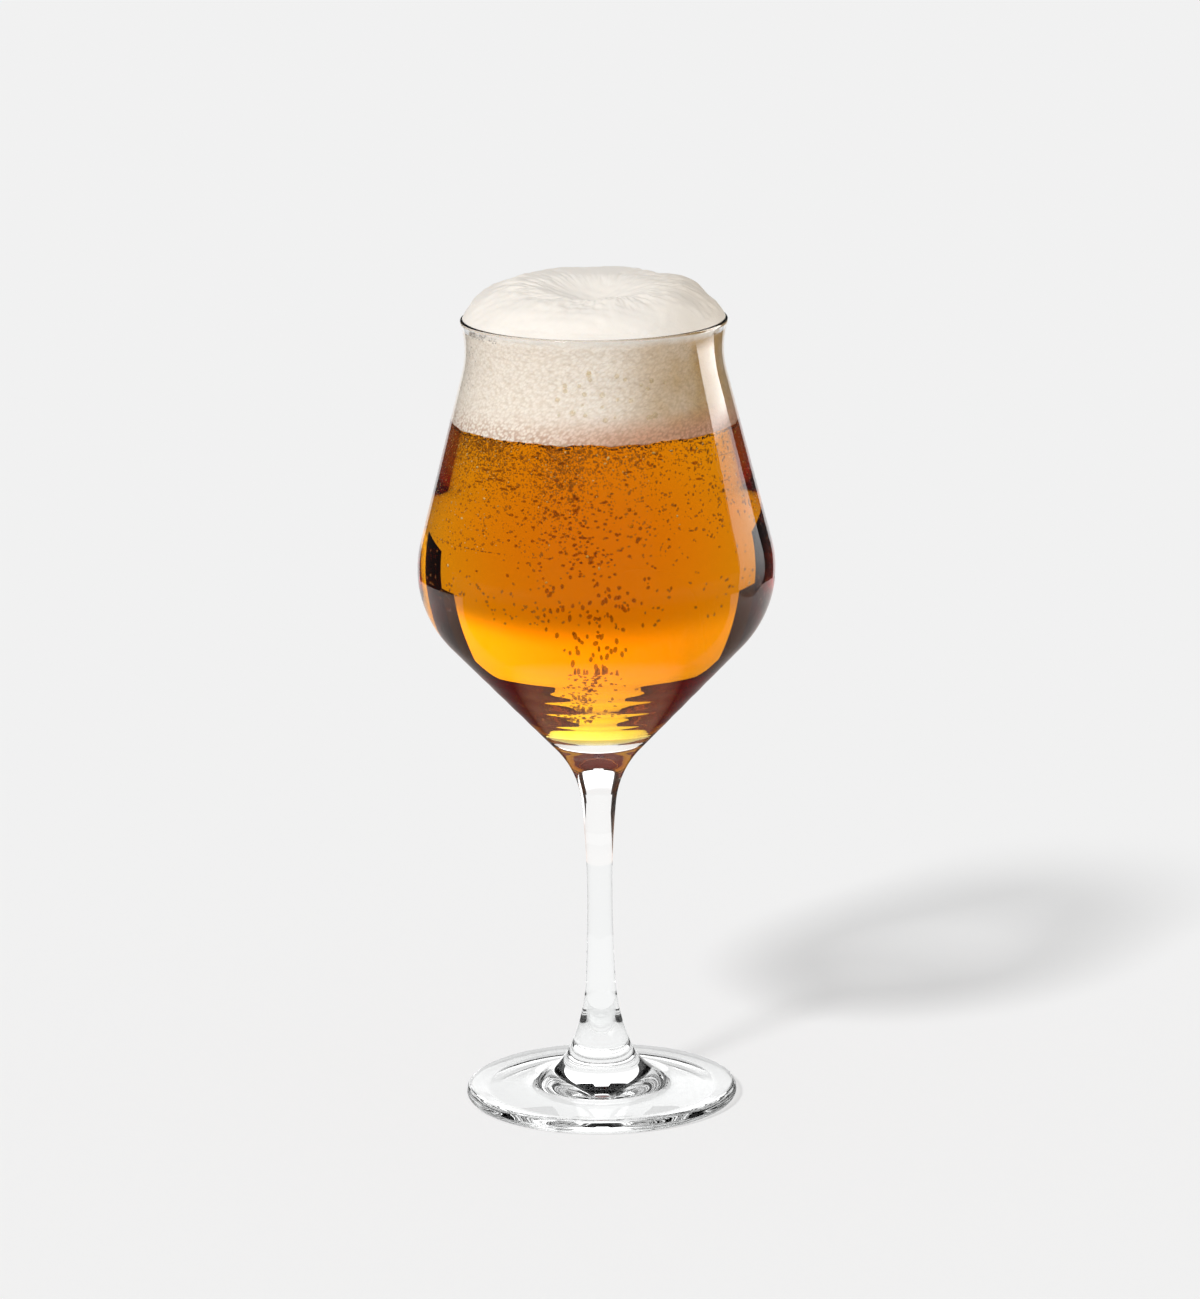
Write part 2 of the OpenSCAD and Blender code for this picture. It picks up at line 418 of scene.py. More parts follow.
# Foam: a thick cream head of fine bubbles that fills the neck and stands in a dome over the lip.
# Its crown has sunk to a crater in the middle, with soft folds that fan out round it.
# Against the glass its cells show as a leathery grain, with painted shade between them, and its ragged
# lower edge dips into the beer.
foam_rise = 8.8
foam_gap = 0.12
foam_turns = 448
crest_d = 37.6
crest_room = 0.12
crater_r = 15.0
crater_depth = 3.4
crater_steps = 26
crater_shift = np.array([0.8, -5.0])
crown_r = 18.5
crown_w = 5.5
crown_drop = 0.6
crown_tilt = 1.1
crown_fade = 5.0
lip_fade = 3.0
fan_r = 20.0
fan_pull = 0.4
lumps = ((0.22, 15.0, 3), (0.05, 3.6, 5))
folds = ((0.18, 5.0, 7), (0.14, 2.4, 9), (0.06, 1.3, 19))
side_r = 0.8 * neck_r
side_top = 1.5
side_foot = 0.5
edge_dip = 0.8
edge_fade = 1.2
edge_waves = ((0.16, 9.0, 13), (0.2, 2.2, 17))
base_inset = 2.0
skin_inset = 1.5
cell_width = 1.5
cell_height = 0.95
cell_lean = 0.9
cell_depth = 0.2
cell_reach = 0.75
cell_most = 1.2
cell_seed = 11
crest_r = crest_d / 2
crest_z = glass_h + foam_rise
foam_lip = edge_centre + np.array([0, lip_round + foam_gap])
shoulder_r = bow_radius(crest_z - crown_drop - foam_lip[1], foam_lip[0] - crest_r)
shoulder_centre = np.array([crest_r, crest_z - crown_drop - shoulder_r])
shoulder_start = np.degrees(np.arctan2(*(foam_lip - shoulder_centre)[::-1]))
crater_reach = np.linspace(1, 0, crater_steps)
crater_line = np.column_stack((
    crater_r * crater_reach,
    crest_z - crown_drop - crater_depth * (0.5 + 0.5 * np.cos(np.pi * crater_reach))))
foam_floor = beer_z - edge_dip
dry_line = inner_line(foam_gap)
dry_line = dry_line[dry_line[:, 1] > foam_floor]
foam_base = profile([[0, foam_floor], [dry_line[0, 0] - base_inset, foam_floor]], gap=4.0)
foam_skin = profile(
    [[dry_line[0, 0] - skin_inset, foam_floor]],
    dry_line,
    arc(edge_centre, lip_round + foam_gap, 180 - lip_angle, 90),
    arc(shoulder_centre, shoulder_r, shoulder_start, 90, step=0.42),
    crater_line,
    gap=0.5)
foam_line = np.vstack((foam_base, foam_skin))


def swell(points, size, seed, waves=24):
    """Smooth random heights of about unit size: a sum of plane waves, each with its own way and phase."""
    draw = np.random.default_rng(seed)
    way = draw.normal(size=(waves, 3))
    pull = (2 * np.pi / size) * draw.uniform(0.7, 1.4, (waves, 1))
    way *= pull / np.linalg.norm(way, axis=1, keepdims=True)
    phase = draw.uniform(0, 2 * np.pi, waves)
    total = np.zeros(points.shape[:-1])
    for k in range(waves):
        total += np.cos(points @ way[k] + phase[k])
    return total * np.sqrt(2 / waves)


def swells(points, layers):
    """The sum of some swells, each given by its height, its size and its seed."""
    return sum(height * swell(points, size, seed) for height, size, seed in layers)


def cell_distance(across, up, columns, seed):
    """Distance to the nearest of random seats, one in each unit square of a strip.

    The strip closes on itself after its columns.
    """
    draw = np.random.default_rng(seed)
    seats = draw.uniform(0.1, 0.9, (columns, int(up.max()) + 4, 2))
    column = np.floor(across).astype(int)
    row = np.floor(up).astype(int)
    nearest = np.full(across.shape, np.inf)
    for i in (-1, 0, 1):
        for j in (-1, 0, 1):
            seat = seats[(column + i) % columns, row + j + 1]
            gap = np.hypot(column + i + seat[..., 0] - across, row + j + seat[..., 1] - up)
            nearest = np.minimum(nearest, gap)
    return nearest


def foam_cells(line, turn):
    """Depth of the cells on the foam's side, 0 in their middles and about 1 on their borders."""
    columns = int(2 * np.pi * neck_r / cell_width)
    up = (line[:, 1:] - foam_floor) / cell_height + 0 * turn
    across = turn * columns / (2 * np.pi) + cell_lean * up
    return np.clip(cell_distance(across, up, columns, cell_seed) / cell_reach, 0, cell_most) ** 2


def ragged_edge(turn):
    """How far the foam's lower edge is drawn up at each turn, from 0 to 1."""
    ring = np.stack((neck_r * np.cos(turn), neck_r * np.sin(turn), 0 * turn), axis=1)
    return np.clip(0.5 + swells(ring, edge_waves), 0, 1)


def foam_shape(grid, poles, line, turn):
    """Moves the foam's skin along its profile's normal, by lumps and folds on top and cells on its side.

    Then the crater is shifted, the crown tilted, the lower edge drawn up and the top held below the crest.
    """
    line = line[1:-1]
    slope = np.gradient(line, axis=0)
    normal = np.column_stack((slope[:, 1], -slope[:, 0])) / np.linalg.norm(slope, axis=1, keepdims=True)
    radius = line[:, 0]
    height = line[:, 1]
    over_lip = np.clip((height - glass_h) / lip_fade, 0, 1)
    free = over_lip * np.clip(radius / crown_fade, 0, 1)
    crown = np.exp(-((radius - crown_r) / crown_w) ** 2) * free
    fan = np.stack(np.broadcast_arrays(
        fan_r * np.cos(turn), fan_r * np.sin(turn), fan_pull * radius[:, None]), axis=2)
    lift = free[:, None] * swells(grid, lumps) + crown[:, None] * swells(fan, folds)
    beside = radius > side_r
    on_side = beside * np.clip((glass_h - height) / side_top, 0, 1)
    on_side *= np.clip((height - foam_floor) / side_foot, 0, 1)
    lift -= cell_depth * on_side[:, None] * foam_cells(line, turn)
    moved = grid.copy()
    moved[..., 0] += lift * normal[:, :1] * np.cos(turn)
    moved[..., 1] += lift * normal[:, :1] * np.sin(turn)
    moved[..., 2] += lift * normal[:, 1:]
    sunk = np.exp(-(radius / crater_r) ** 4) * (height > glass_h)
    moved[..., :2] += sunk[:, None, None] * crater_shift
    moved[..., 2] += crown_tilt * moved[..., 1] / crest_r * over_lip[:, None]
    near_edge = np.exp(-(height - foam_floor) / edge_fade) * beside
    moved[..., 2] += edge_dip * near_edge[:, None] * ragged_edge(turn)
    moved[..., 2] = crest_z - crest_room * np.logaddexp(0, (crest_z - moved[..., 2]) / crest_room)
    poles = poles.copy()
    poles[1, :2] += crater_shift
    poles[1, 2] += crown_tilt * crater_shift[1] / crest_r
    return moved, poles


def feed(tree, socket, value):
    """Gives a socket its value, by a link if the value is a socket too."""
    if isinstance(value, bpy.types.NodeSocket):
        tree.links.new(value, socket)
    else:
        socket.default_value = value


def blend_colours(tree, share, first, second):
    """A colour that goes from first to second as share goes from 0 to 1."""
    blend = tree.nodes.new("ShaderNodeMix")
    blend.data_type = "RGBA"
    for number, value in ((0, share), (6, first), (7, second)):
        feed(tree, blend.inputs[number], value)
    return blend.outputs[2]


def ramp(tree, value, start, end):
    """A smooth mask: 0 where the value is at start, 1 where it is at end."""
    mask = tree.nodes.new("ShaderNodeMapRange")
    mask.interpolation_type = "SMOOTHSTEP"
    flip = start > end
    mask.inputs["From Min"].default_value = min(start, end)
    mask.inputs["From Max"].default_value = max(start, end)
    mask.inputs["To Min"].default_value = float(flip)
    mask.inputs["To Max"].default_value = float(not flip)
    tree.links.new(value, mask.inputs["Value"])
    return mask.outputs["Result"]


def times(tree, first, second):
    """The product of two masks."""
    product = tree.nodes.new("ShaderNodeMath")
    product.operation = "MULTIPLY"
    feed(tree, product.inputs[0], first)
    feed(tree, product.inputs[1], second)
    return product.outputs["Value"]


dome_cream = (0.885, 0.84, 0.78, 1)
dome_patchy = (0.79, 0.73, 0.655, 1)
# Painted shade: the dome darkens towards this colour on its right side, away from the key light.
dome_side_shade = (0.68, 0.60, 0.50, 1)
glass_cream = (0.95, 0.855, 0.75, 1)
# Painted shade with beige patches: behind the glass the foam browns towards this colour on its right side.
side_shade_beige = (0.55, 0.32, 0.09, 1)
# Partly beer-wet foam and partly painted light: the rosy glow the beer casts on the foam low down.
wet_and_beer_lit_rose = (0.70, 0.36, 0.22, 1)
# Painted shade between the foam's cells: the darker colours of their borders, rose near the beer.
rose_cell_shade = (0.47, 0.19, 0.11, 1)
cream_cell_shade = (0.55, 0.42, 0.29, 1)
beige_cell_shade = (0.33, 0.19, 0.07, 1)
patch_share = 0.35
rose_share = 0.7
cell_shade_share = 0.3
pore_slant = 36.0
pore_counts = (1000, 1200, 1800)
pore_depth = 0.25
side_shade_x = (0.0, 26.0)
dome_shade_x = (8.0, 34.0)
rosy_x = (-26.0, 14.0)
rosy_rise = 8.5


def cream_foam():
    """Pale froth: painted shade darkens its right side, browns it there behind the glass among beige
    patches and darkens it between its cells; low down it is rosy, partly beer-wet, partly painted beer
    light.
    """
    material, nodes, links = new_material("cream_foam")
    tree = material.node_tree
    froth = nodes["Principled BSDF"]
    froth.inputs["Roughness"].default_value = 0.5
    froth.inputs["Subsurface Weight"].default_value = 0.2
    froth.inputs["Subsurface Radius"].default_value = (0.003, 0.0025, 0.002)
    froth.inputs["Subsurface Scale"].default_value = 1.0
    place = nodes.new("ShaderNodeTexCoord")
    split = nodes.new("ShaderNodeSeparateXYZ")
    links.new(place.outputs["Object"], split.inputs["Vector"])

    def along(axis, start, end):
        """A mask between two places on an axis, in millimetres."""
        return ramp(tree, split.outputs[axis], start * MM, end * MM)

    patches = nodes.new("ShaderNodeTexNoise")
    patches.inputs["Scale"].default_value = 70.0
    patches.inputs["Detail"].default_value = 3.0
    links.new(place.outputs["Object"], patches.inputs["Vector"])
    slant = nodes.new("ShaderNodeVectorRotate")
    slant.rotation_type = "Y_AXIS"
    slant.inputs["Angle"].default_value = np.radians(pore_slant)
    links.new(place.outputs["Object"], slant.inputs["Vector"])
    longer = nodes.new("ShaderNodeVectorMath")
    longer.operation = "MULTIPLY"
    longer.inputs[1].default_value = pore_counts
    links.new(slant.outputs["Vector"], longer.inputs[0])
    pores = nodes.new("ShaderNodeTexVoronoi")
    pores.inputs["Scale"].default_value = 1.0
    links.new(longer.outputs["Vector"], pores.inputs["Vector"])
    cells = nodes.new("ShaderNodeAttribute")
    cells.attribute_name = "cell_border"
    grain = ramp(tree, pores.outputs["Distance"], 0.3, 0.8)
    mottled = ramp(tree, patches.outputs["Fac"], -0.1, 0.6)
    enclosed = along("Z", glass_h, glass_h - lip_fade)
    low_down = along("Z", beer_z + rosy_rise, beer_z)
    # Painted shade: behind the glass the foam's right side, away from the key light, is browned in mottled
    # patches.
    side_shade = times(tree, times(tree, enclosed, along("X", *side_shade_x)), mottled)
    dome = blend_colours(tree, times(tree, mottled, patch_share), dome_cream, dome_patchy)
    # Painted shade on the dome's right side.
    dome = blend_colours(tree, along("X", *dome_shade_x), dome, dome_side_shade)
    colour = blend_colours(tree, enclosed, dome, glass_cream)
    colour = blend_colours(tree, side_shade, colour, side_shade_beige)
    # Low down the foam turns rosy, partly wet with beer and partly painted light from the beer.
    colour = blend_colours(tree, times(tree, low_down, along("X", *rosy_x)), colour, wet_and_beer_lit_rose)
    near_beer = times(tree, times(tree, low_down, low_down), rose_share)
    # Painted shade between the cells, rose near the beer.
    colour = blend_colours(tree, times(tree, grain, near_beer), colour, rose_cell_shade)
    # Painted shade between the cells behind the glass, from the cell attribute and from the pores.
    shaded = blend_colours(tree, side_shade, cream_cell_shade, beige_cell_shade)
    for borders in (cells.outputs["Fac"], grain):
        share = times(tree, times(tree, borders, enclosed), cell_shade_share)
        colour = blend_colours(tree, share, colour, shaded)
    links.new(colour, froth.inputs["Base Color"])
    bump = nodes.new("ShaderNodeBump")
    bump.inputs["Strength"].default_value = 0.5
    bump.inputs["Distance"].default_value = pore_depth * MM
    links.new(times(tree, pores.outputs["Distance"], along("Z", crest_z, neck_z)), bump.inputs["Height"])
    links.new(bump.outputs["Normal"], froth.inputs["Normal"])
    lets_light = nodes.new("ShaderNodeBsdfTransparent")
    lets_light.inputs["Color"].default_value = (0.93, 0.93, 0.93, 1)
    surface = by_ray(tree, "Is Shadow Ray", froth.outputs["BSDF"], lets_light.outputs["BSDF"])
    links.new(surface, nodes["Material Output"].inputs["Surface"])
    return material


foam = lathe("foam_head_skin", foam_line, foam_turns, [cream_foam()], change=foam_shape)
foam_turn = np.linspace(0, 2 * np.pi, foam_turns, endpoint=False)
# The cells' depth is kept as an attribute too: the foam's material paints shade with it between the cells.
border = foam.data.attributes.new("cell_border", "FLOAT", "POINT")
border.data.foreach_set("value", np.append(foam_cells(foam_line[1:-1], foam_turn).ravel(), (0, 0)))
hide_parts("foam_head")
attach(foam, "root")

# Bubbles: gas that clings to the wall as beads, rises in a wandering column and packs under the foam.
# Each is a small closed shell, drawn out a little, painted brown as shade where bubbles bend the light
# away, with a gold painted glint here and there.
# A dark string of painted shade marks the beer line, large ones show as flat tan spots in the foam, and
# drops wet the neck.
bead_inset = 0.45
small_inset = 0.3
clump_pull = 0.8
bubble_draw = np.random.default_rng(29)


def bead_shell(rings, segments):
    """Unit ball: two poles and rings between them, evenly spaced from pole to pole."""
    rise = np.pi * np.arange(1, rings + 1)[:, None] / (rings + 1)
    turn = 2 * np.pi * np.arange(segments) / segments
    flat = np.sin(rise)
    belt = np.stack((flat * np.cos(turn), flat * np.sin(turn), np.cos(rise) + 0 * turn), axis=2)
    index = np.arange(rings * segments).reshape(rings, segments)
    after = np.roll(index, -1, axis=1)
    quads = np.stack((index[:-1], index[1:], after[1:], after[:-1]), axis=2).reshape(-1, 4)
    top = np.column_stack((index[0], after[0], np.full(segments, rings * segments)))
    bottom = np.column_stack((after[-1], index[-1], np.full(segments, rings * segments + 1)))
    return np.vstack((belt.reshape(-1, 3), [[0, 0, 1], [0, 0, -1]])), quads, np.vstack((top, bottom))


def bead_swarm(name, shell, centres, halves, leans, materials, share=0.0):
    """Balls with half-sizes along, across and out from the axis of the glass, as one mesh.

    Along leans from level by an angle in radians. A share of the balls takes the second material.
    """
    unit, quads, triangles = shell
    count = len(centres)
    turn = np.arctan2(centres[:, 1], centres[:, 0])
    level = np.column_stack((-np.sin(turn), np.cos(turn), 0 * turn))
    up = np.array([0, 0, 1.0])
    along = np.cos(leans)[:, None] * level + np.sin(leans)[:, None] * up
    across = np.cos(leans)[:, None] * up - np.sin(leans)[:, None] * level
    out = np.column_stack((np.cos(turn), np.sin(turn), 0 * turn))
    axes = np.stack((along, across, out), axis=1)
    points = np.einsum("pk,nk,nkj->npj", unit, halves, axes) + centres[:, None]
    step = len(unit) * np.arange(count)[:, None, None]
    all_quads = (quads + step).reshape(-1, 4)
    all_triangles = (triangles + step).reshape(-1, 3)
    piece = mesh_piece(name, points.reshape(-1, 3), all_quads, all_triangles, materials)
    odd = (bubble_draw.random(count) < share).astype(np.int32)
    by_face = np.concatenate((np.repeat(odd, len(quads)), np.repeat(odd, len(triangles))))
    piece.data.polygons.foreach_set("material_index", by_face)
    piece.visible_shadow = False
    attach(piece, "root")
    return piece


def bead_skin(name, dark, light, cover=1.0):
    """Shell of a bubble as it looks through the beer, with its colour clouded from bead to bead.

    Cover is the share of light that each side of the shell stops.
    """
    material, nodes, links = new_material(name)
    tree = material.node_tree
    skin = nodes["Principled BSDF"]
    skin.inputs["Roughness"].default_value = 0.3
    skin.inputs["Alpha"].default_value = cover
    place = nodes.new("ShaderNodeTexCoord")
    clouds = nodes.new("ShaderNodeTexNoise")
    clouds.inputs["Scale"].default_value = 400.0
    links.new(place.outputs["Object"], clouds.inputs["Vector"])
    share = ramp(tree, clouds.outputs["Fac"], 0.35, 0.65)
    links.new(blend_colours(tree, share, dark, light), skin.inputs["Base Color"])
    return material


def on_wall(turn, height, inset):
    """Points that lie inside the bowl's wall by inset, at each turn and height."""
    line = inner_line(inset)
    radius = np.interp(height, line[:, 1], line[:, 0])
    return np.column_stack((radius * np.cos(turn), radius * np.sin(turn), height))


def clumped(turn, height, count, size, seed):
    """Keeps count of the places, more of them where a smooth random field over the wall is high."""
    field = swell(on_wall(turn, height, bead_inset), size, seed)
    odds = np.exp(clump_pull * field)
    return bubble_draw.choice(len(turn), count, replace=False, p=odds / odds.sum())


def stretched(small, large, count, flat):
    """Half-sizes of beads with radii from small to large: long along, narrow across, flat outwards."""
    radius = bubble_draw.uniform(small, large, count)
    longer = radius * bubble_draw.uniform(1.0, 1.45, count)
    narrower = radius * bubble_draw.uniform(0.75, 1.0, count)
    return np.column_stack((longer, narrower, radius * flat))


# Painted shade: brown shells stand in for the dark look that bending light gives bubbles in beer.
bubble_brown = bead_skin("bubble_brown", (0.34, 0.10, 0.004, 1), (0.48, 0.16, 0.008, 1), cover=0.42)
cloud_brown = bead_skin("cloud_brown", (0.30, 0.085, 0.004, 1), (0.46, 0.15, 0.008, 1), cover=0.38)
# Painted glints: bright gold shells stand in for bubbles that catch the light.
bubble_glint = bead_skin("bubble_glint", (0.70, 0.42, 0.10, 1), (0.95, 0.66, 0.28, 1))
line_shade_brown = bead_skin("line_shade_brown", (0.03, 0.012, 0.004, 1), (0.12, 0.04, 0.008, 1))
spot_tan = bead_skin("spot_tan", (0.60, 0.47, 0.24, 1), (0.70, 0.57, 0.32, 1), cover=0.18)
drop_grey = bead_skin("drop_grey", (0.09, 0.075, 0.07, 1), (0.24, 0.21, 0.19, 1), cover=0.4)
round_bead = bead_shell(rings=5, segments=8)
small_bead = bead_shell(rings=2, segments=5)

wall_count = 1000
wall_tries = 3600
wall_top = 1.5
front_share = 0.7
front_reach = 42.0
back_reach = 26.0
side = np.where(bubble_draw.random(wall_tries) < front_share, -1, 1)
turn = side * bubble_draw.uniform(0, np.pi, wall_tries)
reach = np.where(np.sin(turn) > 0, back_reach, front_reach)
height = beer_z - wall_top - reach * bubble_draw.random(wall_tries) ** 1.4
kept = clumped(turn, height, wall_count, size=16, seed=31)
wall_bubbles = bead_swarm(
    "wall_bubbles", round_bead, on_wall(turn[kept], height[kept], bead_inset),
    stretched(0.22, 0.44, wall_count, flat=0.6),
    bubble_draw.normal(0.5, 0.8, wall_count), [bubble_brown, bubble_glint], share=0.03)

cloud_count = 8000
cloud_tries = 18000
cloud_top = 0.6
cloud_depth = 6.5
cloud_deepest = 26.0
cloud_turn = np.radians(-126)
cloud_spread = np.radians(24)
turn = np.where(
    bubble_draw.random(cloud_tries) < 0.5,
    bubble_draw.uniform(0, 2 * np.pi, cloud_tries),
    bubble_draw.normal(cloud_turn, cloud_spread, cloud_tries))
height = beer_z - cloud_top - np.minimum(bubble_draw.exponential(cloud_depth, cloud_tries), cloud_deepest)
kept = clumped(turn, height, cloud_count, size=22, seed=37)
cloud_bubbles = bead_swarm(
    "cloud_bubbles", small_bead, on_wall(turn[kept], height[kept], small_inset),
    stretched(0.12, 0.26, cloud_count, flat=0.7),
    bubble_draw.uniform(0, np.pi, cloud_count), [cloud_brown, bubble_glint], share=0.02)

column_count = 520
column_r = 6.0
column_spread = 10.0
column_low = 104.0
column_high = 160.0
spread_low = 118.0
spread_run = 20.0
sway_width = 2.5
sway_length = 9.0
sway_left = 2.0
height = column_low + (column_high - column_low) * bubble_draw.random(column_count) ** 1.3
turn = bubble_draw.uniform(0, 2 * np.pi, column_count)
widening = np.clip((height - spread_low) / spread_run, 0, 1)
reach = (column_r + column_spread * widening) * np.abs(bubble_draw.normal(0, 0.55, column_count))
sway = sway_width * np.sin(height / sway_length) - sway_left
column_bubbles = bead_swarm(
    "column_bubbles", round_bead,
    np.column_stack((reach * np.cos(turn) + sway, reach * np.sin(turn), height)),
    stretched(0.24, 0.44, column_count, flat=0.9),
    bubble_draw.normal(0.4, 0.7, column_count), [bubble_brown, bubble_glint], share=0.05)

# Painted glints: gold beads on the front of the wall near its left and right edges.
left_glints = 80
side_glints = 46
glint_count = left_glints + 2 * side_glints
turn = np.radians(np.concatenate((
    bubble_draw.uniform(-172, -149, left_glints),
    bubble_draw.uniform(-154, -130, side_glints),
    bubble_draw.uniform(-31, -8, side_glints))))
height = np.append(
    bubble_draw.uniform(150, 173, left_glints),
    bubble_draw.uniform(147, 168, 2 * side_glints))
edge_glints = bead_swarm(
    "edge_glints", small_bead, on_wall(turn, height, small_inset),
    stretched(0.10, 0.22, glint_count, flat=0.8),
    bubble_draw.normal(1.3, 0.5, glint_count), [bubble_glint])

# Painted shade: a string of dark beads where the foam meets the beer.
line_count = 760
line_inset = 0.2
turn = np.arange(line_count) * 2 * np.pi / line_count + bubble_draw.normal(0, 0.004, line_count)
height = foam_floor + edge_dip * ragged_edge(turn) + bubble_draw.normal(-0.12, 0.14, line_count)
beer_line_beads = bead_swarm(
    "beer_line_beads", small_bead, on_wall(turn, height, line_inset),
    stretched(0.14, 0.34, line_count, flat=0.6),
    bubble_draw.normal(0, 0.5, line_count), [line_shade_brown, bubble_brown], share=0.4)

front_spots = 26
back_spots = 60
spot_count = front_spots + back_spots
spot_inset = 0.05
spot_half = 0.035
turn = np.append(
    np.radians(bubble_draw.uniform(-108, -56, front_spots)),
    bubble_draw.uniform(0, np.pi, back_spots))
height = np.append(bubble_draw.uniform(180, 192, front_spots), bubble_draw.uniform(178, 193, back_spots))
spot_r = bubble_draw.uniform(0.35, 0.85, spot_count)
foam_spots = bead_swarm(
    "foam_spots", round_bead, on_wall(turn, height, spot_inset),
    np.column_stack((spot_r, spot_r * 0.95, np.full(spot_count, spot_half))),
    bubble_draw.uniform(0, np.pi, spot_count), [spot_tan])
foam_spots.data.shade_flat()

low_drops = 60
lip_drops = 110
drop_count = low_drops + lip_drops
drop_inset = 0.14
drop_half = 0.1
turn = np.radians(np.append(
    bubble_draw.normal(-167, 4, low_drops),
    bubble_draw.uniform(-177, -138, lip_drops)))
height = np.append(bubble_draw.uniform(184, 196, low_drops), bubble_draw.uniform(197.4, 199.2, lip_drops))
drop_r = bubble_draw.uniform(0.07, 0.16, drop_count)
neck_drops = bead_swarm(
    "neck_drops", small_bead, on_wall(turn, height, drop_inset),
    np.column_stack((drop_r * 1.4, drop_r, np.full(drop_count, drop_half))),
    bubble_draw.normal(0.2, 0.4, drop_count), [drop_grey])

# Camera: at the photograph's viewing angle, a long lens a little above the glass.
# Its place, pitch and roll were fitted to the outline together with the glass's profile.
image_h = 1299
focal_px = 5869.3
camera_at = Vector((0.000675, -1.424456, 0.45212))
camera_pitch = 13.28
camera_roll = -0.588
lens = bpy.data.cameras.new("camera")
lens.sensor_width = 36.0
lens.lens = focal_px / image_h * lens.sensor_width
lens.clip_end = 100.0
camera = bpy.data.objects.new("camera", lens)
tilt = Matrix.Rotation(np.radians(90 - camera_pitch), 4, "X")
lean = Matrix.Rotation(np.radians(camera_roll), 4, "Z")
camera.matrix_world = Matrix.Translation(camera_at) @ tilt @ lean
scene.collection.objects.link(camera)
scene.camera = camera

# Studio: a pale floor, even light from all round, and a soft key from the front left.
# Glass is lit as photographers light it, by screens that move with the camera and that only glass shows:
# a bright screen behind it, black flags beside that, a strip light at the right and a dim card in front.
floor_half = 12000.0
floor_gap = 0.05
floor_white = 0.98
pale = 0.88
no_triangles = np.zeros((0, 3), int)


def pale_floor():
    """Matt pale paper for lamps and the camera, and plain white where glass shows it."""
    material, nodes, links = new_material("pale_floor")
    paper = nodes["Principled BSDF"]
    paper.inputs["Base Color"].default_value = (pale, pale, pale, 1)
    paper.inputs["Roughness"].default_value = 1.0
    paper.inputs["Specular IOR Level"].default_value = 0.0
    white = nodes.new("ShaderNodeEmission")
    white.inputs["Strength"].default_value = floor_white
    tree = material.node_tree
    surface = by_ray(tree, "Is Transmission Ray", paper.outputs["BSDF"], white.outputs["Emission"])
    links.new(surface, nodes["Material Output"].inputs["Surface"])
    return material


corners = floor_half * np.array([[-1, -1, 0], [1, -1, 0], [1, 1, 0], [-1, 1, 0]]) - (0, 0, floor_gap)
floor = mesh_piece("studio_floor", corners, np.array([[0, 1, 2, 3]]), no_triangles, [pale_floor()])
floor.visible_glossy = False


def glow(name, level):
    """Plain light of that radiance."""
    material, nodes, links = new_material(name)
    nodes.remove(nodes["Principled BSDF"])
    light = nodes.new("ShaderNodeEmission")
    light.inputs["Strength"].default_value = level
    links.new(light.outputs["Emission"], nodes["Material Output"].inputs["Surface"])
    material.cycles.emission_sampling = "NONE"
    return material


def rig_card(name, points, level, mirrored=False, rides=True):
    """A grid of points in millimetres as a glowing card that only glass shows.

    It is seen through the glass, or mirrored in it. It rides with the camera or stays by the glass.
    """
    rows, columns = points.shape[:2]
    index = np.arange(rows * columns).reshape(rows, columns)
    quads = np.stack((index[:-1, :-1], index[:-1, 1:], index[1:, 1:], index[1:, :-1]), axis=2)
    card = mesh_piece(name, points.reshape(-1, 3), quads.reshape(-1, 4), no_triangles, [glow(name, level)])
    card.visible_camera = False
    card.visible_diffuse = False
    card.visible_shadow = False
    card.visible_glossy = mirrored
    card.visible_transmission = not mirrored
    if rides:
        card.parent = camera
        card.matrix_parent_inverse = camera.matrix_world.inverted()
    return card


def dome_patch(distance, turns, rises, steps=24):
    """Part of a sphere about the glass, between two turns and two rises in degrees.

    Turn is to the right of straight behind the glass, and rise is above level.
    """
    turn = np.radians(np.linspace(*turns, steps))
    rise = np.radians(np.linspace(*rises, steps))[:, None]
    flat = np.cos(rise)
    return distance * np.stack((flat * np.sin(turn), flat * np.cos(turn), np.sin(rise) + 0 * turn), axis=2)


def board(start, end, heights):
    """An upright flat board between two floor points, from one height to another."""
    ends = np.array([start, end], float)
    return np.stack([np.column_stack((ends, np.full(2, height))) for height in heights])


def level_ring(inner, outer, turns, height, steps=65):
    """A flat ring about the axis, from one turn to another in degrees, at a height."""
    turn = np.radians(np.linspace(*turns, steps))
    edge = np.column_stack((np.cos(turn), np.sin(turn), 0 * turn))
    return np.stack((inner * edge, outer * edge)) + (0, 0, height)


def rising_glow(card, levels, heights, half, dimmed):
    """Makes a card's light rise from one level to another between two heights.

    The upper level falls off to a dimmed share of itself, from half to the right to half to the left.
    """
    tree = card.data.materials[0].node_tree
    nodes, links = tree.nodes, tree.links
    place = nodes.new("ShaderNodeTexCoord")
    split = nodes.new("ShaderNodeSeparateXYZ")
    rise = nodes.new("ShaderNodeMapRange")
    rise.interpolation_type = "SMOOTHSTEP"
    rise.inputs["From Min"].default_value = heights[0] * MM
    rise.inputs["From Max"].default_value = heights[1] * MM
    rise.inputs["To Min"].default_value = levels[0]
    upper = nodes.new("ShaderNodeMapRange")
    upper.inputs["From Min"].default_value = -half * MM
    upper.inputs["From Max"].default_value = half * MM
    upper.inputs["To Min"].default_value = dimmed * levels[1]
    upper.inputs["To Max"].default_value = levels[1]
    links.new(place.outputs["Object"], split.inputs["Vector"])
    links.new(split.outputs["Z"], rise.inputs["Value"])
    links.new(split.outputs["X"], upper.inputs["Value"])
    links.new(upper.outputs["Result"], rise.inputs["To Max"])
    links.new(rise.outputs["Result"], nodes["Emission"].inputs["Strength"])


